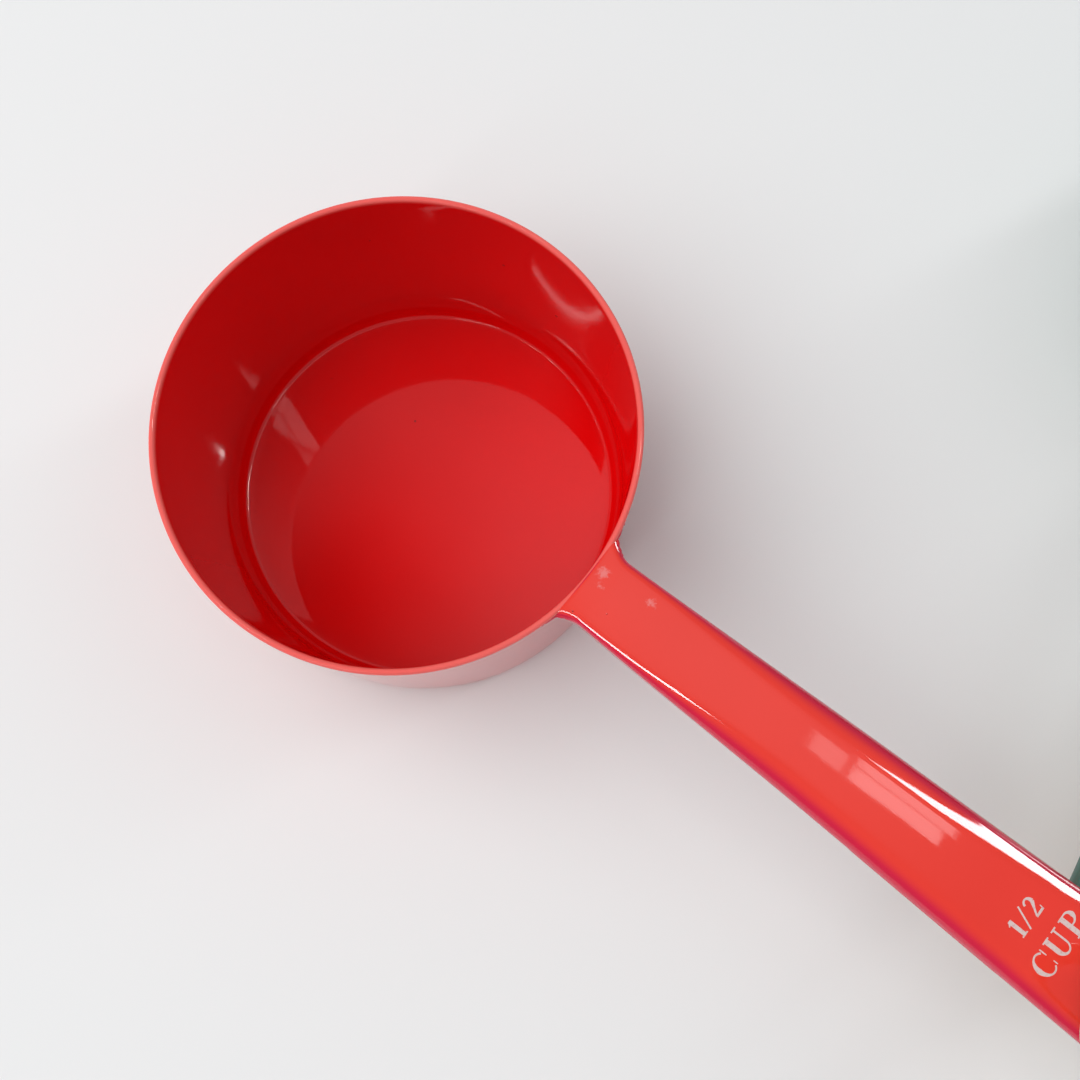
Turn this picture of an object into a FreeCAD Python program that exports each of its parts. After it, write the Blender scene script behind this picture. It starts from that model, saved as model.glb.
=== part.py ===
"""Measuring cup set: four enamelled steel cups on one wire ring.

Each cup is a straight-walled drawn bowl with a rolled lip, a stamped channel handle and the weld that
joins the two.  The cups stand on the table, fanned about the ring, and every handle is threaded on the
ring by the hole in its end.  Millimetres, +Z up.  The origin is the centre of the half cup's base, and
+X runs along the half cup's handle to the ring.
"""
import FreeCAD, Part
import math
import os

import Sketcher
from FreeCAD import Placement, Rotation, Vector

ORIGIN = -1     # Sketcher's number for the sketch origin and its X axis
START = 1       # Sketcher's numbers for the points of a curve
END = 2
CENTRE = 3
FULL_TURN = 360
CLEAR_OF_ALL = 200      # a cut this long passes through any piece
TOUCH = 1e-4            # how near a measured place must be to count as the same

CUPS = ("half_cup", "one_cup", "third_cup", "quarter_cup")

SIZES = {
    # the family of cups: struck capacity in millilitres, outer radius over the lip, place in the fan
    # and, as the wire is slack in the ring hole, where the hole lies from the middle of the wire
    "half_cup_capacity": 118.3, "half_cup_radius": 33.2, "half_cup_fan": 180,
    "half_cup_slack_x": 1.5, "half_cup_slack_y": -0.2,
    "one_cup_capacity": 236.6, "one_cup_radius": 41, "one_cup_fan": 12,
    "one_cup_slack_x": -1.8, "one_cup_slack_y": -1.8,
    "third_cup_capacity": 78.9, "third_cup_radius": 30, "third_cup_fan": 102,
    "third_cup_slack_x": 0.9, "third_cup_slack_y": 1.1,
    "quarter_cup_capacity": 59.1, "quarter_cup_radius": 28, "quarter_cup_fan": 56,
    "quarter_cup_slack_x": 0, "quarter_cup_slack_y": 2.2,
    # the drawn bowl
    "bowl_sheet": 1.0,          # wall and floor
    "lip_overhang": 0.3,        # how far the rolled lip stands out of the wall
    "lip_bead": 0.7,            # radius of the roll
    "floor_corner": 1.8,        # inside radius between wall and floor
    # the stamped handle, a channel that is open below
    "hole_reach": 114.7,        # bowl axis to ring hole
    "root_width": 10.2,         # at the bowl
    "end_width": 15.6,          # at the ring hole, which is the middle of the round end
    "handle_depth": 3.0,
    "handle_sheet": 1.0,
    "shoulder": 2.2,            # outside radius along the top edges
    "ring_hole": 4.8,           # radius
    "root_overrun": 3.0,        # how far the blank runs inside the lip before it is trimmed
    # the weld between them
    "weld_flare": 4.0,          # plan radius at each side of the root
    "weld_crown": 0.15,         # how far it stands above the lip
    "weld_drop": 2.4,           # how far it runs down below the lip
    # the ring, a split ring of two turns modelled as their outline
    "loop_radius": 20.0,        # to the middle of the wire
    "loop_height": 36.3,        # table to ring centre
    "loop_heading": -28,        # the way the ring points from the holes
    "wire_deep": 1.6,           # across the wire, in the ring's plane
    "wire_wide": 2.2,           # across both turns
    "wire_round": 0.5,          # corner radius
}


def fill_sheet(doc):
    """Puts every driving dimension in a named cell."""
    sheet = doc.addObject("Spreadsheet::Sheet", "Sizes")
    for row, (name, value) in enumerate(SIZES.items(), start=1):
        sheet.set(f"A{row}", name)
        sheet.set(f"B{row}", str(value))
        sheet.setAlias(f"B{row}", name)
    doc.recompute()
    return sheet


def cell(name):
    return f"Sizes.{name}"


# ---- sizes that follow from the driving ones, as expressions ----

def inner_radius(cup):
    return f"({cell(cup + '_radius')} - {cell('lip_overhang')} - {cell('bowl_sheet')})"


def depth(cup):
    """Struck depth that gives the capacity, with what the rounded corner takes made up."""
    radius = inner_radius(cup)
    straight = f"{cell(cup + '_capacity')} * 1000 / (pi * {radius}^2)"
    corner = f"2 * (1 - pi / 4) * {cell('floor_corner')}^2 / {radius}"
    return f"({straight} + {corner})"


def rim(cup):
    """Table to the top of the lip."""
    return f"({cell('bowl_sheet')} + {depth(cup)})"


def value(doc, expression):
    """The number that an expression of the sheet gives."""
    return float(doc.Sizes.evalExpression(expression))


# ---- small helpers for sketches and features ----

def new_body(doc, label):
    body = doc.addObject("PartDesign::Body", label)
    body.Label = label
    return body


def new_sketch(body, name, role="XY_Plane", height=None):
    """A sketch on one of the body's own planes, lifted along Z to height."""
    plane = next(o for o in body.Origin.OriginFeatures if o.Role == role)
    sketch = body.newObject("Sketcher::SketchObject", name)
    sketch.AttachmentSupport = [(plane, "")]
    sketch.MapMode = "FlatFace"
    if height is not None:
        sketch.setExpression("AttachmentOffset.Base.z", height)
    return sketch


def bind(sketch, constraint, expression):
    """Adds a dimension and ties it to the sheet."""
    index = sketch.addConstraint(constraint)
    sketch.setExpression(f"Constraints[{index}]", expression)


def circle_sketch(body, name, radius, height, reach=None):
    """A circle on the bowl's axis, or at reach along X."""
    doc = body.Document
    sketch = new_sketch(body, name, height=height)
    x = value(doc, reach) if reach else 0
    circle = sketch.addGeometry(Part.Circle(Vector(x, 0, 0), Vector(0, 0, 1), value(doc, radius)))
    bind(sketch, Sketcher.Constraint("Radius", circle, value(doc, radius)), radius)
    sketch.addConstraint(Sketcher.Constraint("PointOnObject", circle, CENTRE, ORIGIN))
    if reach:
        bind(sketch, Sketcher.Constraint("DistanceX", circle, CENTRE, x), reach)
    else:
        sketch.addConstraint(Sketcher.Constraint("PointOnObject", circle, CENTRE, -2))
    return sketch


def pad(body, name, sketch, length):
    feature = body.newObject("PartDesign::Pad", name)
    feature.Profile = sketch
    feature.setExpression("Length", length)
    body.Document.recompute()
    return feature


def pocket(body, name, sketch, length=None):
    """Cuts down from the sketch by length, or through everything both ways."""
    before = body.Shape.Volume
    feature = body.newObject("PartDesign::Pocket", name)
    feature.Profile = sketch
    if length:
        feature.setExpression("Length", length)
    else:
        feature.Length = CLEAR_OF_ALL
        feature.Midplane = True
    body.Document.recompute()
    if body.Shape.Volume > before - TOUCH:
        raise ValueError(f"{name} cut nothing")
    return feature


def fillet(body, name, radius, wanted):
    """Rounds the edges of the body's tip for which wanted(edge) is true."""
    tip = body.Tip
    edges = [f"Edge{i}" for i, edge in enumerate(tip.Shape.Edges, start=1) if wanted(edge)]
    feature = body.newObject("PartDesign::Fillet", name)
    feature.Base = (tip, edges)
    feature.setExpression("Radius", radius)
    body.Document.recompute()
    return feature


def lies_at(edge, height):
    box = edge.BoundBox
    return abs(box.ZMin - height) < TOUCH and abs(box.ZMax - height) < TOUCH


# ---- the pieces of one cup, each in the cup's own frame: bowl axis on Z, handle along +X ----

def make_bowl(doc, cup):
    """Straight wall, rounded floor corner, rolled lip."""
    body = new_body(doc, f"{cup}_bowl")
    outer = f"{cell(cup + '_radius')} - {cell('lip_overhang')}"
    wall_top = f"{rim(cup)} - {cell('lip_bead')}"
    blank = circle_sketch(body, f"{cup}_blank", outer, "0")
    pad(body, f"{cup}_drawn_blank", blank, wall_top)
    fillet(body, f"{cup}_base_corner", f"{cell('floor_corner')} + {cell('bowl_sheet')}",
           lambda edge: lies_at(edge, 0))
    mouth = circle_sketch(body, f"{cup}_mouth", inner_radius(cup), wall_top)
    pocket(body, f"{cup}_hollow", mouth, f"{depth(cup)} - {cell('lip_bead')}")
    floor_top = value(doc, cell("bowl_sheet"))
    inside = value(doc, inner_radius(cup)) + TOUCH
    fillet(body, f"{cup}_floor_corner", cell("floor_corner"),
           lambda edge: lies_at(edge, floor_top) and edge.BoundBox.XMax < inside)
    roll = new_sketch(body, f"{cup}_roll", role="XZ_Plane")
    bead = value(doc, cell("lip_bead"))
    out = value(doc, cell(cup + "_radius")) - bead
    up = value(doc, rim(cup)) - bead
    ring = roll.addGeometry(Part.Circle(Vector(out, up, 0), Vector(0, 0, 1), bead))
    bind(roll, Sketcher.Constraint("Radius", ring, bead), cell("lip_bead"))
    bind(roll, Sketcher.Constraint("DistanceX", ring, CENTRE, out),
         f"{cell(cup + '_radius')} - {cell('lip_bead')}")
    bind(roll, Sketcher.Constraint("DistanceY", ring, CENTRE, up), f"{rim(cup)} - {cell('lip_bead')}")
    lip = body.newObject("PartDesign::Revolution", f"{cup}_lip")
    lip.Profile = roll
    lip.ReferenceAxis = (roll, ["V_Axis"])
    lip.Angle = FULL_TURN
    doc.recompute()
    return body


def handle_outline(body, cup):
    """Tapered sides that widen from the bowl to a round end about the ring hole."""
    doc = body.Document
    root = f"{cell(cup + '_radius')} - {cell('root_overrun')}"
    x_root = value(doc, root)
    x_end = value(doc, cell("hole_reach"))
    half_root = value(doc, cell("root_width")) / 2
    half_end = value(doc, cell("end_width")) / 2
    sketch = new_sketch(body, f"{cup}_handle_outline", height=f"{rim(cup)} - {cell('handle_depth')}")
    side_a = sketch.addGeometry(Part.LineSegment(Vector(x_root, -half_root), Vector(x_end, -half_end)))
    full = Part.Circle(Vector(x_end, 0, 0), Vector(0, 0, 1), half_end)
    nose = sketch.addGeometry(Part.ArcOfCircle(full, -math.pi / 2, math.pi / 2))
    side_b = sketch.addGeometry(Part.LineSegment(Vector(x_end, half_end), Vector(x_root, half_root)))
    back = sketch.addGeometry(Part.LineSegment(Vector(x_root, half_root), Vector(x_root, -half_root)))
    sketch.addConstraint([
        Sketcher.Constraint("Tangent", side_a, END, nose, START),
        Sketcher.Constraint("Tangent", nose, END, side_b, START),
        Sketcher.Constraint("Coincident", side_b, END, back, START),
        Sketcher.Constraint("Coincident", back, END, side_a, START),
        Sketcher.Constraint("PointOnObject", nose, CENTRE, ORIGIN),
        Sketcher.Constraint("Symmetric", back, START, back, END, ORIGIN),
    ])
    bind(sketch, Sketcher.Constraint("Radius", nose, half_end), f"{cell('end_width')} / 2")
    bind(sketch, Sketcher.Constraint("DistanceX", nose, CENTRE, x_end), cell("hole_reach"))
    bind(sketch, Sketcher.Constraint("DistanceX", back, START, x_root), root)
    bind(sketch, Sketcher.Constraint("DistanceY", back, END, back, START, 2 * half_root),
         cell("root_width"))
    return sketch


def make_handle(doc, cup):
    """A stamped channel: rounded shoulders above, hollow below, trimmed to the bowl at its root."""
    body = new_body(doc, f"{cup}_handle")
    blank = pad(body, f"{cup}_handle_blank", handle_outline(body, cup), cell("handle_depth"))
    top = value(doc, rim(cup))
    root_x = value(doc, f"{cell(cup + '_radius')} - {cell('root_overrun')}")
    fillet(body, f"{cup}_shoulders", cell("shoulder"),
           lambda edge: lies_at(edge, top) and edge.BoundBox.XMax > root_x + TOUCH)
    tip = body.Tip
    open_faces = []
    for i, face in enumerate(tip.Shape.Faces, start=1):
        box = face.BoundBox
        underside = abs(box.ZMax - (top - value(doc, cell("handle_depth")))) < TOUCH
        back = abs(box.XMax - root_x) < TOUCH
        if underside or back:
            open_faces.append(f"Face{i}")
    shell = body.newObject("PartDesign::Thickness", f"{cup}_channel")
    shell.Base = (tip, open_faces)
    shell.setExpression("Value", cell("handle_sheet"))
    shell.Reversed = True
    doc.recompute()
    if shell.Shape.Volume > blank.Shape.Volume:
        raise ValueError("the channel grew outwards")
    hole = circle_sketch(body, f"{cup}_ring_hole", cell("ring_hole"), rim(cup), reach=cell("hole_reach"))
    pocket(body, f"{cup}_pierced", hole)
    trim = circle_sketch(body, f"{cup}_root_trim", cell(cup + "_radius"), rim(cup))
    pocket(body, f"{cup}_trimmed", trim)
    return body


def make_weld(doc, cup, bowl, handle):
    """The weld that fills the root: a concave flare each side, cut to the bowl and the handle.

    The blank stands where the bowl and the handle stand, so the cuts follow them.
    """
    body = new_body(doc, f"{cup}_weld_blank")
    radius = value(doc, cell(cup + "_radius"))
    flare = value(doc, cell("weld_flare"))
    half_root = value(doc, cell("root_width")) / 2
    y_centre = half_root + flare
    x_centre = math.sqrt((radius + flare) ** 2 - y_centre ** 2)
    reach = f"sqrt(({cell(cup + '_radius')} + {cell('weld_flare')})^2" \
            f" - ({cell('root_width')} / 2 + {cell('weld_flare')})^2)"
    turn = math.atan2(y_centre, x_centre)
    low = f"{rim(cup)} - {cell('weld_drop')}"
    sketch = new_sketch(body, f"{cup}_weld_outline", height=low)
    share = radius / (radius + flare)
    on_lip = Vector(share * x_centre, share * y_centre, 0)
    sides = []
    for sign in (1, -1):
        circle = Part.Circle(Vector(x_centre, sign * y_centre, 0), Vector(0, 0, 1), flare)
        first, last = sorted((sign * (math.pi + turn) % (2 * math.pi), -sign * math.pi / 2 % (2 * math.pi)))
        sides.append(sketch.addGeometry(Part.ArcOfCircle(circle, first, last)))
    upper, lower = sides
    out = sketch.addGeometry(Part.LineSegment(Vector(x_centre, half_root), Vector(x_centre, -half_root)))
    back = sketch.addGeometry(Part.LineSegment(on_lip, Vector(on_lip.x, -on_lip.y, 0)))
    sketch.addConstraint([
        Sketcher.Constraint("Coincident", upper, END, out, START),
        Sketcher.Constraint("Coincident", lower, START, out, END),
        Sketcher.Constraint("Coincident", upper, START, back, START),
        Sketcher.Constraint("Coincident", lower, END, back, END),
        Sketcher.Constraint("Symmetric", upper, CENTRE, lower, CENTRE, ORIGIN),
        Sketcher.Constraint("Vertical", out),
        Sketcher.Constraint("Vertical", back),
    ])
    bind(sketch, Sketcher.Constraint("Radius", upper, flare), cell("weld_flare"))
    bind(sketch, Sketcher.Constraint("Radius", lower, flare), cell("weld_flare"))
    bind(sketch, Sketcher.Constraint("DistanceX", upper, CENTRE, x_centre), reach)
    bind(sketch, Sketcher.Constraint("DistanceY", upper, CENTRE, y_centre),
         f"{cell('root_width')} / 2 + {cell('weld_flare')}")
    bind(sketch, Sketcher.Constraint("DistanceX", out, START, x_centre), reach)
    bind(sketch, Sketcher.Constraint("DistanceX", back, START, on_lip.x),
         f"{reach} * {cell(cup + '_radius')} / ({cell(cup + '_radius')} + {cell('weld_flare')})")
    pad(body, f"{cup}_weld_fill", sketch, f"{cell('weld_drop')} + {cell('weld_crown')}")
    body.Placement = bowl.Placement
    fitted = body
    for number, tool in enumerate((bowl, handle)):
        cut = doc.addObject("Part::Cut", f"{cup}_weld_fit_{number}")
        cut.Base = fitted
        cut.Tool = tool
        fitted = cut
    doc.recompute()
    fitted.Label = f"{cup}_handle_weld"
    return fitted


# ---- the ring and the fan ----

def make_ring(doc):
    """A standing ring whose near side is threaded through the holes."""
    body = new_body(doc, "set_ring")
    sketch = new_sketch(body, "wire_section", role="XY_Plane")
    deep, wide = (value(doc, cell(name)) for name in ("wire_deep", "wire_wide"))
    out = value(doc, cell("loop_radius"))
    lines = []
    corners = [Vector(out + sx * deep / 2, sy * wide / 2, 0)
               for sx, sy in ((-1, -1), (1, -1), (1, 1), (-1, 1))]
    for a, b in zip(corners, corners[1:] + corners[:1]):
        lines.append(sketch.addGeometry(Part.LineSegment(a, b)))
    low, right, high, left = lines
    for line, following in zip(lines, lines[1:] + lines[:1]):
        sketch.addConstraint(Sketcher.Constraint("Coincident", line, END, following, START))
    for line in (low, high):
        sketch.addConstraint(Sketcher.Constraint("Horizontal", line))
    sketch.addConstraint(Sketcher.Constraint("Vertical", left))
    sketch.addConstraint(Sketcher.Constraint("Symmetric", right, START, right, END, ORIGIN))
    bind(sketch, Sketcher.Constraint("DistanceX", low, START, corners[0].x),
         f"{cell('loop_radius')} - {cell('wire_deep')} / 2")
    bind(sketch, Sketcher.Constraint("DistanceX", low, START, low, END, deep), cell("wire_deep"))
    bind(sketch, Sketcher.Constraint("DistanceY", right, START, right, END, wide), cell("wire_wide"))
    wire = body.newObject("PartDesign::Revolution", "ring_wire")
    wire.Profile = sketch
    wire.ReferenceAxis = (sketch, ["V_Axis"])
    wire.Angle = FULL_TURN
    doc.recompute()
    fillet(body, "wire_corners", cell("wire_round"), lambda edge: True)
    centre = ring_centre(doc) + Vector(0, 0, value(doc, cell("loop_height")))
    body.Placement = Placement(centre, heading(doc))
    return body


def heading(doc):
    """Turns +X to the way the ring points from the holes."""
    return Rotation(Vector(0, 0, 1), value(doc, cell("loop_heading")))


def crossing(doc, cup):
    """How far short of the ring's centre its near side passes through the cup's handle."""
    plate = value(doc, rim(cup)) - value(doc, cell("handle_sheet")) / 2
    rise = plate - value(doc, cell("loop_height"))
    return math.sqrt(value(doc, cell("loop_radius")) ** 2 - rise ** 2)


def hole_place(doc, cup):
    """The ring hole from the ring's centre, in plan: where the wire passes, and the slack."""
    slack = Vector(value(doc, cell(cup + "_slack_x")), value(doc, cell(cup + "_slack_y")), 0)
    return heading(doc).multVec(Vector(-crossing(doc, cup), 0, 0)) + slack


def ring_centre(doc):
    """In plan, so that the half cup's bowl stands at the origin."""
    return Vector(value(doc, cell("hole_reach")), 0, 0) - hole_place(doc, "half_cup")


def cup_placement(doc, cup):
    """Stands the cup in the fan, with its hole where the ring passes through the handle."""
    hole = ring_centre(doc) + hole_place(doc, cup)
    turn = Rotation(Vector(0, 0, 1), value(doc, cell(cup + "_fan")) - FULL_TURN / 2)
    return Placement(hole - turn.multVec(Vector(value(doc, cell("hole_reach")), 0, 0)), turn)


def check(doc, pieces):
    """Stops on any failed feature or bad shape."""
    for item in doc.Objects:
        if set(item.State) & {"Invalid", "Error"}:
            raise ValueError(f"{item.Label} failed: {item.State}")
    for piece in pieces:
        shape = piece.Shape
        if shape.isNull() or not shape.isValid() or not shape.Solids:
            raise ValueError(f"{piece.Label} has no valid solid")


def main():
    doc = FreeCAD.newDocument("measuring_cup_set")
    fill_sheet(doc)
    pieces = []
    for cup in CUPS:
        bowl = make_bowl(doc, cup)
        handle = make_handle(doc, cup)
        for piece in (bowl, handle):
            piece.Placement = cup_placement(doc, cup)
        pieces += [bowl, handle, make_weld(doc, cup, bowl, handle)]
    pieces.append(make_ring(doc))
    doc.recompute()
    check(doc, pieces)
    os.makedirs("parts", exist_ok=True)
    for piece in pieces:
        piece.Shape.exportStep(f"parts/{piece.Label}.step")
        print(f"{piece.Label}: {piece.Shape.Volume:.1f} mm3, {len(piece.Shape.Solids)} solids")
    for cup in CUPS:
        wire = ring_centre(doc) + heading(doc).multVec(Vector(-crossing(doc, cup), 0, 0))
        print(f"{cup}: rim {value(doc, rim(cup)):.2f}, base {cup_placement(doc, cup).Base}, wire {wire}")
    print(f"ring centre {ring_centre(doc)}")


main()
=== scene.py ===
"""The looks of the measuring cup set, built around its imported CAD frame. Metres, +Z up."""
import math
import random
import bmesh
import bpy
from mathutils import Matrix, Vector


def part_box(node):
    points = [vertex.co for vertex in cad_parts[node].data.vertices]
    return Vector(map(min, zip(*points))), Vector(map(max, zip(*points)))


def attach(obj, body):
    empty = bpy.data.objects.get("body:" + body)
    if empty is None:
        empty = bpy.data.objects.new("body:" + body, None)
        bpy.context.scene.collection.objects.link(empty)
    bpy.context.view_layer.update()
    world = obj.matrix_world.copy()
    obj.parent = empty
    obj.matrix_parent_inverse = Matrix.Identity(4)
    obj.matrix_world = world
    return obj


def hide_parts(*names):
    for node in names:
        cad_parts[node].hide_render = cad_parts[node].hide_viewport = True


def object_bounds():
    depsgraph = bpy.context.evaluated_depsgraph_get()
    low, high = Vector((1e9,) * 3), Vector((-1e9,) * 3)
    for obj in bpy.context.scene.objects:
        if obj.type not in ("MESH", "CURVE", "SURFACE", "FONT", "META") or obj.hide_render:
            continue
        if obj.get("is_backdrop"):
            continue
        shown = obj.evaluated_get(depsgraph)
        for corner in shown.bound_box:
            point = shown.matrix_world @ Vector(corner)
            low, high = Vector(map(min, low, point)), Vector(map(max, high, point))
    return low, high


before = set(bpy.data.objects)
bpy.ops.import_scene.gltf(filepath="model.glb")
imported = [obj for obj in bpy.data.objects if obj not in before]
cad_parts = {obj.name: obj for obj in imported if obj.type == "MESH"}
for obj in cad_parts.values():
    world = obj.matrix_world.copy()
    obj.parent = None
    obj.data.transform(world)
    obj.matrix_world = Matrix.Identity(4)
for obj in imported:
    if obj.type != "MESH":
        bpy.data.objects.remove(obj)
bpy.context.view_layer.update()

MM = 0.001
TAU = 2 * math.pi

# ---- the cups' sizes ----

HALF_CUP_RADIUS = 33.2 * MM
SHEET = 1.0 * MM

LIP_OVERHANG = 0.3 * MM  # the lip past the outer wall
LIP_BEAD = 0.45 * MM  # radius of the rolled lip
MOUTH_STEP = 0.03 * MM  # the inner wall past the bead
TAPER = 0.33 * MM  # the inner wall, from the mouth to the foot
FLOOR_CORNER = 2.0 * MM  # width of the curve between the inner wall and the floor
CORNER_RISE = 5.5 * MM  # height of the same curve
BASE_CORNER = FLOOR_CORNER + 0.8 * MM  # radius of the outer one
FLOOR_DOME = 0.15 * MM  # the floor's rise in its middle
BASE_HOLLOW = 0.3 * MM  # the base's rise in its middle

HOLE_REACH = 114.7 * MM  # from the bowl's axis to the hole's
HALF_ROOT = 5.0 * MM  # half the handle's width at the bowl
HALF_END = 7.8 * MM  # and at the hole
ROOT_OVERRUN = 3.0 * MM  # how far inside the lip that taper starts
ROOT_LAP = 0.75 * MM  # how far inside the lip the metal starts
HANDLE_DEPTH = 3.0 * MM
RING_HOLE = 4.8 * MM  # radius
FLARE = 4.0 * MM  # radius of the flare at the weld
CROWN = 0.28 * MM  # the top's fall from its middle to its sides
UNDER_CORNER = 1.2 * MM  # radius inside the channel
BURR = 0.4 * MM  # radius of the hole's edge
ROLL = 0.32 * MM  # radius of the skirt's lower edge

CUPS = {
    # fan: the way each bowl lies from the ring, in degrees. skew: the root off its axis, in mm.
    "half_cup": {"fan": 180, "slot": "red_enamel", "mark": ("1/2", "CUP"), "seed": 11,
                 "skew": -0.5},
    "one_cup": {"fan": 12, "slot": "cream_enamel", "mark": ("1", "CUP"), "seed": 23,
                "skew": 0.3},
    "third_cup": {"fan": 102, "slot": "teal_enamel", "mark": ("1/3", "CUP"), "seed": 37,
                  "skew": -0.2},
    "quarter_cup": {"fan": 56, "slot": "mustard_enamel", "mark": ("1/4", "CUP"), "seed": 41,
                    "skew": 0.4},
}


def clamp(value, low=0, high=1):
    return min(max(value, low), high)


def smooth(run):
    """An ease from 0 to 1 as run goes from 0 to 1."""
    run = clamp(run)
    return run * run * (3 - 2 * run)


# ---- materials ----

def new_material(name):
    mat = bpy.data.materials.new(name)
    mat.use_nodes = True
    return mat, mat.node_tree, mat.node_tree.nodes["Principled BSDF"]


def object_coords(tree):
    return tree.nodes.new("ShaderNodeTexCoord").outputs["Object"]


def noise(tree, coords, scale, detail, rough):
    node = tree.nodes.new("ShaderNodeTexNoise")
    node.inputs["Scale"].default_value = scale
    node.inputs["Detail"].default_value = detail
    node.inputs["Roughness"].default_value = rough
    tree.links.new(coords, node.inputs["Vector"])
    return node.outputs["Fac"]


def ramp(tree, source, stops):
    """A colour ramp over source. stops: (position, colour)."""
    node = tree.nodes.new("ShaderNodeValToRGB")
    for element, (position, colour) in zip(node.color_ramp.elements, stops):
        element.position = position
        element.color = (*colour, 1)
    tree.links.new(source, node.inputs["Fac"])
    return node.outputs["Color"]


def remap(tree, source, start, stop, low=0.0, high=1.0, kind="LINEAR"):
    """low where source is start, high where it is stop."""
    node = tree.nodes.new("ShaderNodeMapRange")
    node.interpolation_type = kind
    for name, value in (("From Min", start), ("From Max", stop), ("To Min", low), ("To Max", high)):
        node.inputs[name].default_value = value
    tree.links.new(source, node.inputs["Value"])
    return node.outputs["Result"]


def maths(tree, operation, a, b):
    node = tree.nodes.new("ShaderNodeMath")
    node.operation = operation
    for socket, value in zip(node.inputs, (a, b)):
        if isinstance(value, (int, float)):
            socket.default_value = value
        else:
            tree.links.new(value, socket)
    return node.outputs[0]


def distance(tree, vector, point):
    node = tree.nodes.new("ShaderNodeVectorMath")
    node.operation = "DISTANCE"
    tree.links.new(vector, node.inputs[0])
    node.inputs[1].default_value = point
    return node.outputs["Value"]


def z_of(tree, vector):
    node = tree.nodes.new("ShaderNodeSeparateXYZ")
    tree.links.new(vector, node.inputs[0])
    return node.outputs["Z"]


def mix(tree, factor, a, b):
    node = tree.nodes.new("ShaderNodeMix")
    node.data_type = "RGBA"
    tree.links.new(factor, node.inputs["Factor"])
    for name, value in (("A", a), ("B", b)):
        socket = [s for s in node.inputs if s.name == name and s.type == "RGBA"][0]
        if isinstance(value, tuple):
            socket.default_value = (*value, 1)
        else:
            tree.links.new(value, socket)
    return [s for s in node.outputs if s.type == "RGBA"][0]


def bump(tree, height, strength, distance, normal=None):
    node = tree.nodes.new("ShaderNodeBump")
    node.inputs["Strength"].default_value = strength
    node.inputs["Distance"].default_value = distance
    tree.links.new(height, node.inputs["Height"])
    if normal is not None:
        tree.links.new(normal, node.inputs["Normal"])
    return node.outputs["Normal"]


def near(tree, at, point, reach, ragged):
    """A mask that is 1 at a point and 0 beyond about reach, broken up by the noise ragged."""
    pushed = maths(tree, "ADD", distance(tree, at, point),
                   maths(tree, "MULTIPLY", ragged, 2.2 * reach))
    # The noise is about a half, so it adds 1.1 times the reach to the distance.
    return remap(tree, pushed, 1.75 * reach, 1.15 * reach, kind="SMOOTHSTEP")


def enamel(name, deep, bright, pit, shoulder=None, chips=(), scuffs=(), lip=None):
    """Glossy stoved enamel: a slow drift in tone, long waves, orange peel, pits, chips, scuffs.

    Where a shoulder colour is given, it is painted shade: the edges and the sides that turn down
    are coloured darker than the top. Where a lip is given, as its height and its colour, the rolled
    lip is painted paler, a painted highlight.
    """
    mat, tree, shader = new_material(name)
    at = object_coords(tree)
    drift = noise(tree, at, scale=28.0, detail=2.0, rough=0.5)
    colour = ramp(tree, drift, [(0.3, deep), (0.7, bright)])
    if shoulder is not None:
        # Painted shade: the more a surface turns away from upright, the more it takes the darker
        # shoulder colour.
        normal = tree.nodes.new("ShaderNodeTexCoord").outputs["Normal"]
        upright = maths(tree, "ABSOLUTE", z_of(tree, normal), 0)
        painted_edge_shade = remap(tree, upright, 0.985, 0.76, kind="SMOOTHSTEP")
        colour = mix(tree, painted_edge_shade, colour, shoulder)

    cells = tree.nodes.new("ShaderNodeTexVoronoi")
    cells.inputs["Scale"].default_value = 150.0
    tree.links.new(at, cells.inputs["Vector"])
    keep = noise(tree, at, scale=95.0, detail=0.0, rough=0.5)
    spot = maths(tree, "LESS_THAN", cells.outputs["Distance"], 0.045)
    rare = maths(tree, "GREATER_THAN", keep, 0.62)
    specks = maths(tree, "MULTIPLY", spot, rare)
    ragged = noise(tree, at, scale=1300.0, detail=4.0, rough=0.75)
    for point, reach in chips:
        specks = maths(tree, "MAXIMUM", specks, near(tree, at, point, reach, ragged))
    colour = mix(tree, specks, colour, pit)

    haze = noise(tree, at, scale=60.0, detail=4.0, rough=0.6)
    roughness = remap(tree, haze, 0.35, 0.75, low=0.03, high=0.065)
    pale = tuple(0.32 + 0.55 * channel for channel in bright)
    for point, reach in scuffs:
        worn = near(tree, at, point, reach, ragged)
        colour = mix(tree, maths(tree, "MULTIPLY", worn, 0.42), colour, pale)
        roughness = maths(tree, "ADD", roughness, maths(tree, "MULTIPLY", worn, 0.22))
    if lip is not None:
        # Painted highlight: the rolled lip is coloured paler than the rest of the coat.
        rim, lip_highlight_colour = lip
        rolled = remap(tree, z_of(tree, at), rim - 0.75 * MM, rim - 0.25 * MM)
        colour = mix(tree, rolled, colour, lip_highlight_colour)

    waves = noise(tree, at, scale=55.0, detail=1.0, rough=0.4)
    peel = noise(tree, at, scale=900.0, detail=2.0, rough=0.5)
    whole = maths(tree, "SUBTRACT", 1.0, specks)
    normal = bump(tree, waves, strength=0.14, distance=0.0004)
    normal = bump(tree, peel, strength=0.04, distance=0.00005, normal=normal)
    normal = bump(tree, whole, strength=0.5, distance=0.0001, normal=normal)
    tree.links.new(colour, shader.inputs["Base Color"])
    tree.links.new(roughness, shader.inputs["Roughness"])
    tree.links.new(normal, shader.inputs["Normal"])
    shader.inputs["IOR"].default_value = 1.5
    shader.inputs["Coat Weight"].default_value = 0.3
    shader.inputs["Coat Roughness"].default_value = 0.02
    return mat


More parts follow.
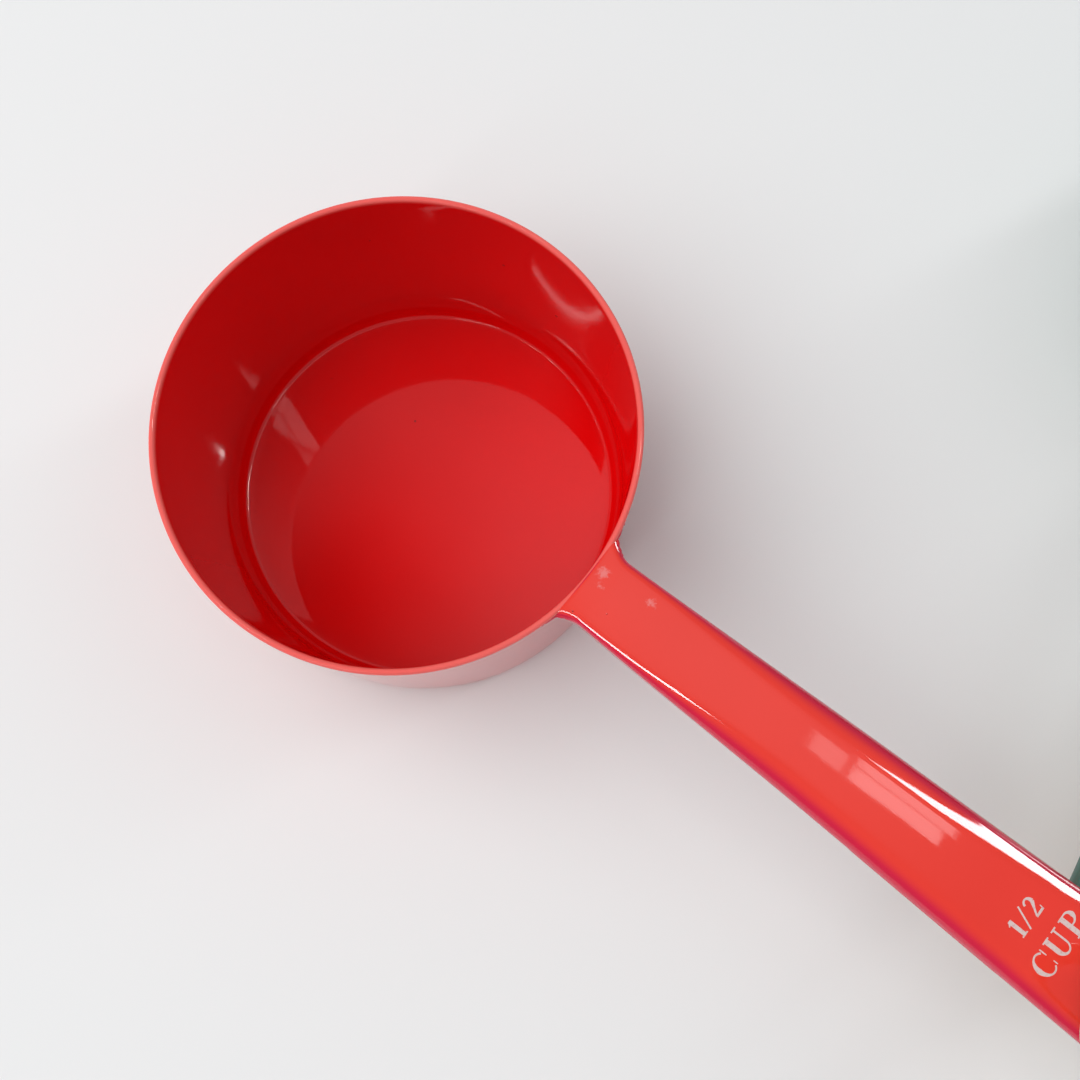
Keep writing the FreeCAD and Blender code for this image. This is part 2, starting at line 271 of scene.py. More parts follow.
def print_ink(name, thin_colour, full_colour):
    """Screen print: a little uneven and thinner in places, so some enamel shows through."""
    mat, tree, shader = new_material(name)
    thin = noise(tree, object_coords(tree), scale=2600.0, detail=3.0, rough=0.6)
    colour = ramp(tree, thin, [(0.25, thin_colour), (0.5, full_colour)])
    tree.links.new(colour, shader.inputs["Base Color"])
    tree.links.new(bump(tree, thin, strength=0.15, distance=0.00003), shader.inputs["Normal"])
    shader.inputs["Roughness"].default_value = 0.38
    return mat


def ring_metal():
    """Nickel-plated spring steel: bright, patchy, finely scratched."""
    mat, tree, shader = new_material("ring_nickel")
    at = object_coords(tree)
    scratch = noise(tree, at, scale=2400.0, detail=4.0, rough=0.7)
    patch = noise(tree, at, scale=140.0, detail=3.0, rough=0.6)
    colour = ramp(tree, patch, [(0.3, (0.56, 0.55, 0.53)), (0.7, (0.72, 0.71, 0.69))])
    roughness = remap(tree, patch, 0.0, 1.0, low=0.14, high=0.34)
    tree.links.new(colour, shader.inputs["Base Color"])
    tree.links.new(roughness, shader.inputs["Roughness"])
    tree.links.new(bump(tree, scratch, strength=0.12, distance=0.00003), shader.inputs["Normal"])
    shader.inputs["Metallic"].default_value = 1.0
    return mat


# Each cup's coat: deep, bright and pit, then the handle's deep, bright and shoulder. The handle's
# deep and bright hold a painted sheen: paler than the bowl's on all but the cream cup, and on the
# half cup whiter, with added green and blue. The shoulder is painted shade for the turned-down
# edges.
COATS = {
    "half_cup": ((0.70, 0.001, 0.002), (0.76, 0.002, 0.003), (0.30, 0.010, 0.008),
                 (0.76, 0.034, 0.020), (0.82, 0.040, 0.024), (0.62, 0.003, 0.040)),
    "one_cup": ((0.74, 0.58, 0.40), (0.80, 0.65, 0.47), (0.24, 0.15, 0.08),
                (0.74, 0.58, 0.40), (0.80, 0.65, 0.47), (0.62, 0.46, 0.29)),
    "third_cup": ((0.12, 0.25, 0.205), (0.15, 0.30, 0.245), (0.03, 0.06, 0.05),
                  (0.13, 0.27, 0.22), (0.17, 0.32, 0.265), (0.08, 0.19, 0.155)),
    "quarter_cup": ((0.66, 0.30, 0.02), (0.74, 0.36, 0.03), (0.20, 0.08, 0.01),
                    (0.68, 0.32, 0.03), (0.76, 0.38, 0.04), (0.46, 0.18, 0.01)),
}
PALE_INK = print_ink("capacity_print", (0.55, 0.30, 0.28), (0.66, 0.52, 0.50))
DARK_INK = print_ink("capacity_print_dark", (0.30, 0.20, 0.13), (0.20, 0.12, 0.08))
NICKEL = ring_metal()


# ---- mesh helpers ----

def add_grid(bm, rows, wrap=False, flip=False):
    """Quads between neighbouring rows of points; wrap also joins each row's ends."""
    made = [[bm.verts.new(p) for p in row] for row in rows]
    for upper, lower in zip(made, made[1:]):
        count = len(upper)
        for i in range(count if wrap else count - 1):
            k = (i + 1) % count
            quad = (upper[i], lower[i], lower[k], upper[k])
            bm.faces.new(quad[::-1] if flip else quad)
    return made


def cap_ends(bm, made):
    """Closes a wrapped grid's first and last rows."""
    bm.faces.new(made[0])
    bm.faces.new(made[-1][::-1])


def finish_mesh(bm, name, material, place, body, slot):
    """Cleans the mesh, makes an object of it, and lets it ride on its body."""
    bmesh.ops.remove_doubles(bm, verts=bm.verts, dist=1e-6)
    bmesh.ops.dissolve_degenerate(bm, edges=bm.edges, dist=1e-8)
    bmesh.ops.recalc_face_normals(bm, faces=bm.faces)
    for face in bm.faces:
        face.smooth = True
    mesh = bpy.data.meshes.new(name)
    bm.to_mesh(mesh)
    bm.free()
    mesh.transform(place)
    mesh.materials.append(material)
    obj = bpy.data.objects.new(name, mesh)
    bpy.context.scene.collection.objects.link(obj)
    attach(obj, body)
    return obj


def arc(centre, radius, start, stop, steps):
    """Points (r, z) of an arc, in degrees, both ends included."""
    points = []
    for i in range(steps + 1):
        angle = math.radians(start + (stop - start) * i / steps)
        points.append((centre[0] + radius * math.cos(angle),
                       centre[1] + radius * math.sin(angle)))
    return points


# ---- the bowl ----

def dish(rise, share):
    """The height of a shallow dome, at a share of its radius."""
    return rise * (1 - share ** 2) ** 2


def bowl_profile(radius, rim):
    """From the floor's middle, up the inside, over the lip, down the outside, to the base's."""
    mouth = radius - 2 * LIP_BEAD - MOUTH_STEP
    foot = mouth - TAPER
    outside = radius - LIP_OVERHANG
    flat = foot - FLOOR_CORNER
    base_flat = outside - BASE_CORNER
    corner_top = SHEET + CORNER_RISE
    wall_top = rim - LIP_BEAD - 0.25 * MM
    points = []
    for i in range(25):
        share = i / 24
        points.append((flat * share, SHEET + dish(FLOOR_DOME, share)))
    for i in range(1, 33):
        turn = math.radians(90 * i / 32)
        points.append((flat + FLOOR_CORNER * math.sin(turn),
                       SHEET + CORNER_RISE * (1 - math.cos(turn))))
    for i in range(1, 21):
        share = i / 20
        points.append((foot + (mouth - foot) * share,
                       corner_top + (wall_top - corner_top) * share))
    points += arc((radius - LIP_BEAD, rim - LIP_BEAD), LIP_BEAD, 180, -30, 22)
    outer_top = wall_top - 0.2 * MM
    for i in range(17):
        points.append((outside, outer_top + (BASE_CORNER - outer_top) * i / 16))
    points += arc((base_flat, BASE_CORNER), BASE_CORNER, 0, -90, 14)[1:]
    for i in range(1, 17):
        share = 1 - i / 16
        points.append((base_flat * share, dish(BASE_HOLLOW, share)))
    return points


def make_bowl(cup, place, radius, rim, spec, coat):
    rng = random.Random(spec["seed"])
    # Out of round by a few hundredths of a millimetre: (lobes around, size, phase).
    lobes = [(n, rng.uniform(0.004, 0.012) * MM, rng.uniform(0, TAU)) for n in (2, 3, 5, 7)]
    around = 288
    rows = []
    for r, z in bowl_profile(radius, rim):
        height = clamp(z / rim)
        row = []
        for k in range(around):
            angle = TAU * k / around
            pull = sum(size * (1 + math.cos(n * angle + phase)) for n, size, phase in lobes)
            fit = max(r - pull * height * min(1, r / radius), 0)
            row.append(Vector((fit * math.cos(angle), fit * math.sin(angle), z)))
        rows.append(row)
    bm = bmesh.new()
    add_grid(bm, rows, wrap=True)
    bowl = finish_mesh(bm, f"{cup}_enamelled_bowl", coat, place, cup, spec["slot"])
    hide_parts(f"{cup}_bowl")


# ---- the handle ----

def rounding(inside, radius):
    """How far a rounded edge has fallen, at a distance inside that edge."""
    if inside >= radius:
        return 0
    return radius - math.sqrt(max(radius * radius - (radius - inside) ** 2, 0))


class Handle:
    """The handle's shape in its cup's own frame: bowl axis on Z, handle along +X."""

    def __init__(self, radius, rim, skew):
        self.radius = radius
        self.rim = rim
        self.skew = skew
        self.root = radius - ROOT_OVERRUN
        self.flare_x = math.sqrt((radius + FLARE) ** 2 - (HALF_ROOT + FLARE) ** 2)
        self.start = radius - ROOT_LAP

    def half(self, x):
        """Half the width at x, with the flare that runs out along the lip."""
        run = (x - self.root) / (HOLE_REACH - self.root)
        width = HALF_ROOT + (HALF_END - HALF_ROOT) * clamp(run)
        # Just short of the full quarter turn, so that the outline keeps a slope.
        back = clamp(self.flare_x - x, 0, FLARE * 0.985)
        return width + FLARE - math.sqrt(FLARE ** 2 - back ** 2)

    def slope(self, x):
        """The outline's slope in plan."""
        step = 0.05 * MM
        return (self.half(x + step) - self.half(x - step)) / (2 * step)

    def outward(self, x, y):
        """The outline's outward normal in plan."""
        if x >= HOLE_REACH:
            away = Vector((x - HOLE_REACH, y)).normalized()
            return away.x, away.y
        slope = self.slope(x)
        size = math.hypot(1, slope)
        return -slope / size, math.copysign(1, y) / size

    def edge_distance(self, x, y):
        """How far inside the outline a point is."""
        if x > HOLE_REACH:
            return HALF_END - math.hypot(x - HOLE_REACH, y)
        return (self.half(x) - abs(y)) / math.hypot(1, self.slope(x))

    def shoulder(self, x):
        """The width of the rounded top edge: tight at the weld, widest before the ring end."""
        ease = smooth((x - self.flare_x) / (34 * MM))
        last = clamp((x - HOLE_REACH + 14 * MM) / (10 * MM))
        return (1.1 + 2.0 * ease - 0.65 * ease * last) * MM

    def bend(self, x, y):
        """Where a point of the straight layout lies: the root follows the lip, a little askew."""
        fade = max(0, 1 - max(0, x - self.start) / (2.6 * MM)) ** 2
        lip = math.sqrt(max(self.start ** 2 - y * y, 0))
        back = clamp((self.flare_x - x) / FLARE)
        askew = self.skew * (1 - smooth((x - self.flare_x) / (39 * MM))) * (1 - back ** 2)
        x, y = x + (lip - self.start) * fade, y + askew
        out = math.hypot(x, y)
        if out < self.start:
            x, y = x * self.start / out, y * self.start / out
        return x, y

    def top(self, x, y):
        """Height of the outer surface."""
        drop = 0.8 * rounding(max(self.edge_distance(x, y), 0), self.shoulder(x))
        drop += rounding(x - self.start, LIP_BEAD)
        if x > HOLE_REACH - 3 * RING_HOLE:
            drop += rounding(max(math.hypot(x - HOLE_REACH, y) - RING_HOLE, 0), BURR)
        crown = CROWN * min(abs(y) / HALF_END, 1) ** 2
        weld_crown = 0.12 * MM * max(0, 1 - max(0, x - self.flare_x) / (9 * MM)) ** 2
        return self.rim + weld_crown - crown - drop

    def under(self, x, y):
        """Height of the surface inside the channel."""
        drop = rounding(max(self.edge_distance(x, y) - SHEET, 0), UNDER_CORNER)
        return self.rim - SHEET - CROWN * min(abs(y) / HALF_END, 1) ** 2 - drop

    def columns(self):
        """Pairs (outer point, inner point) from the root to the tip, on the +Y side."""
        offsets = [0, 0.03, 0.08, 0.16, 0.27, 0.4, 0.55, 0.72, 0.95, 1.25, 1.6, 2.0]
        stations = [self.start + offset * MM for offset in offsets]
        x = stations[-1]
        hole_start = HOLE_REACH - RING_HOLE
        while x < hole_start - 1.2 * MM:
            x += 0.45 * MM if x < self.flare_x + 3 * MM else 1.1 * MM
            stations.append(x)
        stations[-1] = hole_start - 0.6 * MM
        pairs = [((x, self.half(x)), (x, 0.0)) for x in stations]
        # Beside the hole the outer points go straight on for its radius, then around the tip.
        whole = RING_HOLE + HALF_END * math.pi / 2
        steps = 44
        for i in range(steps + 1):
            angle = math.pi * (1 - i / steps)
            inner = (HOLE_REACH + RING_HOLE * math.cos(angle), RING_HOLE * math.sin(angle))
            along = whole * i / steps
            if along < RING_HOLE:
                x = hole_start + along
                outer = (x, self.half(x))
            else:
                turn = math.pi / 2 - (along - RING_HOLE) / HALF_END
                outer = (HOLE_REACH + HALF_END * math.cos(turn), HALF_END * math.sin(turn))
            pairs.append((outer, inner))
        return pairs

    def section(self, outer, inner):
        """One section's points: top from the middle out, skirt, rolled edge, back underneath."""
        ox, oy = outer
        ix, iy = inner
        length = math.hypot(ox - ix, oy - iy)
        fine = [0, 0.03, 0.1, 0.2, 0.34, 0.5, 0.7, 0.95, 1.25, 1.6, 2.0, 2.45]
        rows = [d * MM for d in fine]
        spare = length - rows[-1] - 0.5 * MM
        rows += [rows[-1] + spare * i / 7 for i in range(1, 8)]
        rows += [length - d * MM for d in (0.34, 0.2, 0.1, 0.03, 0)]

        def between(d):
            return ox + (ix - ox) * d / length, oy + (iy - oy) * d / length

        points = []
        for d in reversed(rows):
            x, y = between(d)
            points.append(Vector((x, y, self.top(x, y))))
        skirt_top = points[-1].z
        shallow = 0.25 * clamp((self.flare_x - ox) / (3 * MM))
        deep = self.rim - HANDLE_DEPTH * (1 - shallow)
        nx, ny = self.outward(ox, oy)
        for share in (0.3, 0.65, 1):
            points.append(Vector((ox, oy, skirt_top + (deep + ROLL - skirt_top) * share)))
        for angle in (30, 60, 90):
            turn = math.radians(angle)
            inset = ROLL * (1 - math.cos(turn))
            low = deep + ROLL * (1 - math.sin(turn))
            points.append(Vector((ox - nx * inset, oy - ny * inset, low)))
        for angle in (90, 60, 30, 0):
            turn = math.radians(angle)
            inset = SHEET - ROLL * (1 - math.cos(turn))
            low = deep + ROLL * (1 - math.sin(turn))
            points.append(Vector((ox - nx * inset, oy - ny * inset, low)))
        for d in rows:
            if d < SHEET + 0.02 * MM:
                continue
            x, y = between(d)
            points.append(Vector((x, y, self.under(x, y))))
        return points


def make_handle(cup, place, shape, spec, coat):
    sections = [shape.section(outer, inner) for outer, inner in shape.columns()]
    bm = bmesh.new()
    for side in (1, -1):
        rows = [[Vector((*shape.bend(p.x, p.y * side), p.z)) for p in section]
                for section in sections]
        add_grid(bm, rows, flip=side < 0)
    bmesh.ops.remove_doubles(bm, verts=bm.verts, dist=2e-6)
    hole = [e for e in bm.edges if e.is_boundary and
            all(math.hypot(v.co.x - HOLE_REACH, v.co.y) < RING_HOLE + 1e-5 for v in e.verts)]
    bmesh.ops.bridge_loops(bm, edges=hole)
    root = [e for e in bm.edges if e.is_boundary]
    bmesh.ops.holes_fill(bm, edges=root, sides=0)
    handle = finish_mesh(bm, f"{cup}_enamelled_handle", coat, place, cup, spec["slot"])
    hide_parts(f"{cup}_handle")


# ---- the weld ----

def tube(bm, path, radii):
    """A closed round-ended tube along path."""
    sides = 14
    rows = []
    for i, point in enumerate(path):
        ahead = (path[min(i + 1, len(path) - 1)] - path[max(i - 1, 0)]).normalized()
        side = ahead.cross(Vector((0, 0, 1))).normalized()
        lift = side.cross(ahead).normalized()
        row = []
        for k in range(sides):
            spoke = side * math.cos(TAU * k / sides) + lift * math.sin(TAU * k / sides)
            row.append(point + spoke * radii[i])
        rows.append(row)
    cap_ends(bm, add_grid(bm, rows, wrap=True))


def make_weld(cup, place, shape, spec, coat):
    """Weld runs under the enamel: one beneath the web, and one up each side of the root."""
    rng = random.Random(spec["seed"] + 5)
    bm = bmesh.new()
    wall = shape.radius - LIP_OVERHANG
    low = shape.rim - SHEET - 0.45 * MM
    reach = HALF_ROOT - SHEET - 0.3 * MM
    path, radii = [], []
    for i in range(41):
        share = i / 40
        y = -reach + 2 * reach * share
        ripple = 0.08 * math.sin(i * 1.9) + rng.uniform(-0.04, 0.04)
        swell = math.sin(math.pi * clamp(share, 0.04, 0.96)) ** 0.4
        path.append(Vector((math.sqrt(wall ** 2 - y ** 2) + 0.3 * MM, y, low)))
        radii.append((0.72 + ripple) * MM * (0.35 + 0.65 * swell))
    tube(bm, path, radii)

    lip = shape.radius - 0.32 * MM
    inmost = shape.radius - 0.25 * MM
    lip_run, flare_run = 14, 26
    first, last = 0.975 * shape.radius, shape.flare_x + 0.5 * MM
    for side in (1, -1):
        path, radii = [], []
        for i in range(lip_run):
            y = (9.9 - 2.0 * i / lip_run) * MM
            path.append(Vector((math.sqrt(lip ** 2 - y * y), side * y, shape.rim - 0.62 * MM)))
        for i in range(flare_run + 1):
            x = first + (last - first) * i / flare_run
            y = side * (shape.half(x) - 0.40 * MM)
            along = Vector((*shape.bend(x, y), shape.rim - 0.85 * MM))
            out = math.hypot(along.x, along.y)
            if out < inmost:
                along.xy *= inmost / out
            path.append(along)
        for i in range(len(path)):
            share = i / (len(path) - 1)
            ripple = 0.04 * math.sin(i * 1.7 + side) + rng.uniform(-0.03, 0.03)
            swell = math.sin(math.pi * clamp(share, 0.03, 0.97)) ** 0.6
            radii.append((0.42 + ripple) * MM * (0.25 + 0.75 * swell))
        tube(bm, path, radii)
    weld = finish_mesh(bm, f"{cup}_weld_runs", coat, place, cup, spec["slot"])
    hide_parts(f"{cup}_handle_weld")


# ---- the capacity marks ----

def bow(centre, rx, ry, start, stop):
    """Points along an elliptical arc, in degrees."""
    points = []
    for i in range(19):
        angle = math.radians(start + (stop - start) * i / 18)
        points.append((centre[0] + rx * math.cos(angle), centre[1] + ry * math.sin(angle)))
    return points


def line(a, b):
    return [(a[0] + (b[0] - a[0]) * i / 6, a[1] + (b[1] - a[1]) * i / 6) for i in range(7)]


THICK, THIN = 0.21, 0.08
GAP = 0.10  # between signs
# Each sign: its width, then strokes of (points, thickness at the start, in the middle, at the end).
# A sign stands 1 high on its base line.
SIGNS = {
    "1": (0.52, [(line((0.27, 0.03), (0.27, 0.97)), THICK, THICK, THICK),
                 (line((0.08, 0.035), (0.46, 0.035)), 0.07, 0.07, 0.07),
                 (line((0.07, 0.78), (0.27, 0.94)), 0.05, 0.09, 0.12)]),
    "2": (0.66, [(bow((0.31, 0.70), 0.21, 0.25, 165, -10), 0.12, THIN, THICK),
                 (line((0.52, 0.66), (0.08, 0.07)), THICK, 0.11, THIN),
                 (line((0.06, 0.06), (0.60, 0.06)), 0.12, 0.12, 0.12),
                 (line((0.575, 0.04), (0.60, 0.25)), 0.06, 0.05, 0.04)]),
    "3": (0.64, [(bow((0.29, 0.74), 0.20, 0.215, 160, -85), 0.11, THICK * 0.8, THIN),
                 (bow((0.27, 0.28), 0.25, 0.255, 85, -150), THIN, THICK, 0.11)]),
    "4": (0.68, [(line((0.47, 0.03), (0.47, 0.97)), THICK, THICK, THICK),
                 (line((0.45, 0.93), (0.05, 0.30)), THIN, THIN, THIN),
                 (line((0.04, 0.30), (0.64, 0.30)), 0.09, 0.09, 0.09)]),
    "/": (0.50, [(line((0.02, -0.04), (0.48, 1.02)), 0.085, 0.085, 0.085)]),
    "C": (0.86, [(bow((0.44, 0.5), 0.35, 0.465, 48, 180), 0.08, 0.07, THICK * 1.05),
                 (bow((0.44, 0.5), 0.35, 0.465, 180, 312), THICK * 1.05, 0.07, 0.07),
                 (line((0.755, 0.64), (0.755, 0.97)), 0.04, 0.06, 0.05),
                 (line((0.765, 0.12), (0.765, 0.32)), 0.04, 0.05, 0.04)]),
    "U": (0.94, [(line((0.20, 0.97), (0.20, 0.33)), THICK, THICK, THICK),
                 (bow((0.455, 0.33), 0.255, 0.295, 180, 270), THICK, 0.12, 0.08),
                 (bow((0.455, 0.33), 0.265, 0.295, 270, 360), 0.08, 0.07, THIN),
                 (line((0.72, 0.33), (0.72, 0.97)), THIN, THIN, THIN),
                 (line((0.03, 0.965), (0.38, 0.965)), 0.06, 0.06, 0.06),
                 (line((0.59, 0.965), (0.87, 0.965)), 0.06, 0.06, 0.06)]),
    "P": (0.78, [(line((0.22, 0.03), (0.22, 0.97)), THICK, THICK, THICK),
                 (line((0.04, 0.035), (0.41, 0.035)), 0.06, 0.06, 0.06),
                 (line((0.04, 0.965), (0.42, 0.965)), 0.06, 0.06, 0.06),
                 (bow((0.42, 0.725), 0.24, 0.24, 90, 0), 0.06, 0.10, THICK),
                 (bow((0.42, 0.725), 0.24, 0.24, 0, -90), THICK, 0.10, 0.06),
                 (line((0.42, 0.485), (0.22, 0.485)), 0.06, 0.06, 0.06)]),
}


def stroke(bm, points, widths, put):
    """A flat strip along points. put turns sign coordinates into a place on the handle."""
    start, middle, end = widths
    last = len(points) - 1
    left, right = [], []
    for i, (x, y) in enumerate(points):
        before, after = points[max(i - 1, 0)], points[min(i + 1, last)]
        ax, ay = after[0] - before[0], after[1] - before[1]
        size = math.hypot(ax, ay)
        share = i / last
        if share < 0.5:
            wide = start + (middle - start) * 2 * share
        else:
            wide = middle + (end - middle) * (2 * share - 1)
        nx, ny = -ay / size * wide / 2, ax / size * wide / 2
        left.append(put(x + nx, y + ny))
        right.append(put(x - nx, y - ny))
    add_grid(bm, [left, right])


def make_mark(cup, place, shape, spec):
    """The capacity in two centred rows across the handle, its head towards the bowl."""
    bm = bmesh.new()
    # Each row: its base line's distance from the bowl's axis, its signs' height, its middle's Y.
    rows = ((101.1 * MM, 2.55 * MM, 0.05 * MM), (106.3 * MM, 3.1 * MM, -0.1 * MM))
    for text, (x_base, height, y_mid) in zip(spec["mark"], rows):
        whole = sum(SIGNS[sign][0] for sign in text) + GAP * (len(text) - 1)
        pen = -whole / 2
        for sign in text:
            width, strokes = SIGNS[sign]

            def put(u, v, pen=pen):
                x, y = x_base - v * height, y_mid + (pen + u) * height
                return Vector((x, y, shape.top(x, y) + 0.012 * MM))

            for points, *widths in strokes:
                stroke(bm, points, widths, put)
            pen += width + GAP
    bmesh.ops.recalc_face_normals(bm, faces=bm.faces)
    for face in bm.faces:
        if face.normal.z < 0:
            face.normal_flip()
    mesh = bpy.data.meshes.new(f"{cup}_capacity_mark")
    bm.to_mesh(mesh)
    bm.free()
    mesh.transform(place)
    mesh.materials.append(DARK_INK if cup == "one_cup" else PALE_INK)
    mark = bpy.data.objects.new(f"{cup}_capacity_mark", mesh)
    bpy.context.scene.collection.objects.link(mark)
    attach(mark, cup)


# ---- the ring ----

def make_ring():
    """A split ring: two turns of wire with a short crossing between them."""
    low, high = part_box("set_ring")
    centre = (low + high) / 2
    out = (high.z - low.z) / 2
    deep, wide = 1.6 * MM, 1.08 * MM
    middle = out - deep / 2
    heading = math.radians(-28)
    along = Vector((math.cos(heading), math.sin(heading), 0))
    across = Vector((-math.sin(heading), math.cos(heading), 0))
    crossing = 26  # degrees
    first, last = crossing * 0.55, 720 - crossing * 0.55
    steps = 480
    corner = 0.42 * MM
    outline = []
    for cx, cy, begin in ((1, 1, 0), (-1, 1, 90), (-1, -1, 180), (1, -1, 270)):
        for i in range(5):
            angle = math.radians(begin + 90 * i / 4)
            outline.append((cx * (deep / 2 - corner) + corner * math.cos(angle),
                            cy * (wide / 2 - corner) + corner * math.sin(angle)))
    rows = []
    for i in range(steps + 1):
        degrees = first + (last - first) * i / steps
        ease = smooth((degrees - 360 + crossing / 2) / crossing)
        offset = (ease - 0.5) * 2 * (1.1 * MM - wide / 2)
        angle = math.radians(degrees + 20)
        spoke = along * math.cos(angle) + Vector((0, 0, 1)) * math.sin(angle)
        end = min(i, steps - i)
        shrink = 1 if end > 2 else (0.72, 0.92, 0.99)[end]
        rows.append([centre + spoke * (middle + a * shrink) + across * (offset + b * shrink)
                     for a, b in outline])
    bm = bmesh.new()
    cap_ends(bm, add_grid(bm, rows, wrap=True))
    ring = finish_mesh(bm, "split_ring", NICKEL, Matrix.Identity(4), "ring", "ring_steel")
    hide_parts("set_ring")


# ---- the wear ----

# By the half cup's weld, in mm: (x, y, reach). The other cups' follow their own radius.
LIP_CHIP = (31.5, 9.8, 0.36)
WEB_CHIPS = ((34.0, -4.9, 0.34), (37.6, -2.4, 0.15), (41.5, 0.6, 0.13), (44.2, -2.9, 0.2),
             (39.2, 3.1, 0.12), (72.0, -3.1, 0.16))
SCUFFS = ((34.1, 1.5, 1.5), (34.6, -0.2, 1.0), (41.0, 2.2, 1.2))


def wear(place, radius, rim):
    """The lip's chip, the handle's chips and its scuffs: (place in the world, reach)."""
    scale, shift = radius / HALF_CUP_RADIUS, radius - HALF_CUP_RADIUS

    def spot(x, y, z, reach):
        return tuple(place @ Vector((x, y, z))), reach * MM

    def on_web(spots):
        return [spot(x * MM + shift, y * MM, rim + 0.1 * MM, reach) for x, y, reach in spots]

    x, y, reach = LIP_CHIP
    lip_chip = spot(x * scale * MM, y * scale * MM, rim - 0.2 * MM, reach)
    return [lip_chip], on_web(WEB_CHIPS), on_web(SCUFFS)


for cup, spec in CUPS.items():
    low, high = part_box(f"{cup}_bowl")
    centre = (low + high) / 2
    radius = (high.x - low.x) / 2
    rim = high.z
    turn = Matrix.Rotation(math.radians(spec["fan"] - 180), 4, "Z")
    place = Matrix.Translation((centre.x, centre.y, 0)) @ turn
    deep, bright, pit, web_deep, web_bright, shoulder = COATS[cup]
    lip_chips, web_chips, scuffs = wear(place, radius, rim)
    # A painted highlight for the lip: the handle's bright colour with a little white in it.
    lip_highlight_colour = tuple(channel + (1 - channel) * 0.075 for channel in web_bright)
    bowl_coat = enamel(spec["slot"], deep, bright, pit, chips=lip_chips, lip=(rim, lip_highlight_colour))
    handle_coat = enamel(spec["slot"] + "_handle", web_deep, web_bright, pit, shoulder,
                         web_chips, scuffs)
    shape = Handle(radius, rim, spec["skew"] * MM)
    make_bowl(cup, place, radius, rim, spec, bowl_coat)
    make_handle(cup, place, shape, spec, handle_coat)
    make_weld(cup, place, shape, spec, handle_coat)
    make_mark(cup, place, shape, spec)
make_ring()


# ---- stage, light and camera ----

def make_floor():
    mesh = bpy.data.meshes.new("floor")
    reach = 8.0
    corners = [(-reach, -reach, 0), (reach, -reach, 0), (reach, reach, 0), (-reach, reach, 0)]
    mesh.from_pydata(corners, [], [(0, 1, 2, 3)])
    floor = bpy.data.objects.new("floor", mesh)
    bpy.context.scene.collection.objects.link(floor)
    mat, tree, shader = new_material("floor_pale")
    shader.inputs["Base Color"].default_value = (0.78, 0.78, 0.78, 1)
    shader.inputs["Roughness"].default_value = 0.9
    shader.inputs["Specular IOR Level"].default_value = 0.1
    mesh.materials.append(mat)
    floor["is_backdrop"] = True


def make_world():
    """A room's soft light: a pale spot overhead, and a dark one beside it."""
    world = bpy.data.worlds.new("studio")
    world.use_nodes = True
    tree = world.node_tree
    way = tree.nodes.new("ShaderNodeTexCoord").outputs["Generated"]

    def spot(direction, reach):
        away = distance(tree, way, Vector(direction).normalized())
        return remap(tree, away, reach, 0.0, kind="SMOOTHSTEP")

    pale_spot, dark_spot = spot((0.03, 0.16, 0.98), 0.40), spot((-0.24, -0.06, 0.97), 0.24)
    room = mix(tree, pale_spot, (0.31, 0.325, 0.335), (0.80, 0.80, 0.82))
    room = mix(tree, dark_spot, room, (0.02, 0.02, 0.02))
    tree.links.new(room, tree.nodes["Background"].inputs["Color"])
    tree.nodes["Background"].inputs["Strength"].default_value = 1.0
    bpy.context.scene.world = world


def panel(name, centre, along, size, radiance, colour, towards,
          glossy=True, diffuse=True, only=None):
    """A rectangular lamp at centre, its long side along a direction, facing a point.

    glossy and diffuse: whether it shows in shines, and whether it lights surfaces. only: a
    collection, where the lamp lights just that.
    """
    centre, towards, along = Vector(centre), Vector(towards), Vector(along)
    length, width = size
    face = (centre - towards).normalized()
    along = (along - face * along.dot(face)).normalized()
    across = face.cross(along)
    lamp = bpy.data.lights.new(name, "AREA")
    lamp.shape = "RECTANGLE"
    lamp.size, lamp.size_y = length, width
    lamp.energy = radiance * math.pi * length * width
    lamp.color = colour
    obj = bpy.data.objects.new(name, lamp)
    turn = Matrix((along, across, face)).transposed().to_4x4()
    obj.matrix_world = Matrix.Translation(centre) @ turn
    obj.visible_camera = False
    obj.visible_glossy = glossy
    obj.visible_diffuse = diffuse
    if only is not None:
        obj.light_linking.receiver_collection = only
    bpy.context.scene.collection.objects.link(obj)


make_floor()
make_world()

WHITE, COOL = (1.0, 0.99, 0.98), (0.94, 0.98, 1.0)
bowls, handles = bpy.data.collections.new("bowls"), bpy.data.collections.new("handles")
for cup in CUPS:
    bowls.objects.link(bpy.data.objects[f"{cup}_enamelled_bowl"])
    handles.objects.link(bpy.data.objects[f"{cup}_enamelled_handle"])
on_bowls = {"diffuse": False, "only": bowls}
on_handles = {"diffuse": False, "only": handles}

# Where the lamps face: the half cup's mouth, and its handle.
cup_mouth, grip = (0, 0, 0.03), (0.09, 0.005, 0.037)
azimuth, elevation = math.radians(214), math.radians(54)
key_way = Vector((math.cos(azimuth) * math.cos(elevation),
                  math.sin(azimuth) * math.cos(elevation), math.sin(elevation)))
panel("key", key_way * 1.15, (0, 0, 1), (1.3, 1.3), 2.3, WHITE, cup_mouth, glossy=False)
panel("overhead", (0.05, 0.05, 1.3), (1, 0, 0), (1.1, 1.1), 0.3, WHITE, cup_mouth, glossy=False)

